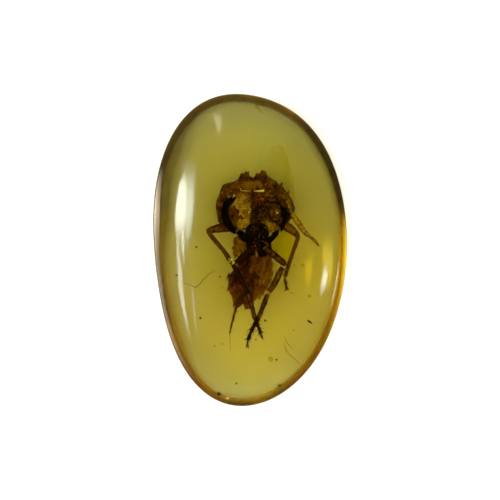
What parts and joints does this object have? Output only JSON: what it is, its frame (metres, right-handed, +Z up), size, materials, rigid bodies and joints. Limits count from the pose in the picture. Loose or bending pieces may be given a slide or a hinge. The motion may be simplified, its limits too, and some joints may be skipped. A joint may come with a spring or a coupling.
{
  "type": "insect in amber",
  "caption": "Polished egg-shaped pebble of clear olive-golden amber with a fossil insect sealed inside, lying on a small flat ground on its underside.",
  "frame": {"origin": "middle of the outline's box, on the flat of the underside that the stone lies on", "axes": "+Z up through the dome, +Y along the stone towards the end the insect's head points at, +X across it"},
  "size_m": [0.0186, 0.03, 0.008],
  "materials": {
    "amber": "polished",
    "cuticle": "glossy",
    "leg": "glossy",
    "abdomen": "satin",
    "membrane": "satin",
    "debris": "matte"
  },
  "bodies": {
    "root": {"amber": "amber"}
  },
  "joints": []
}
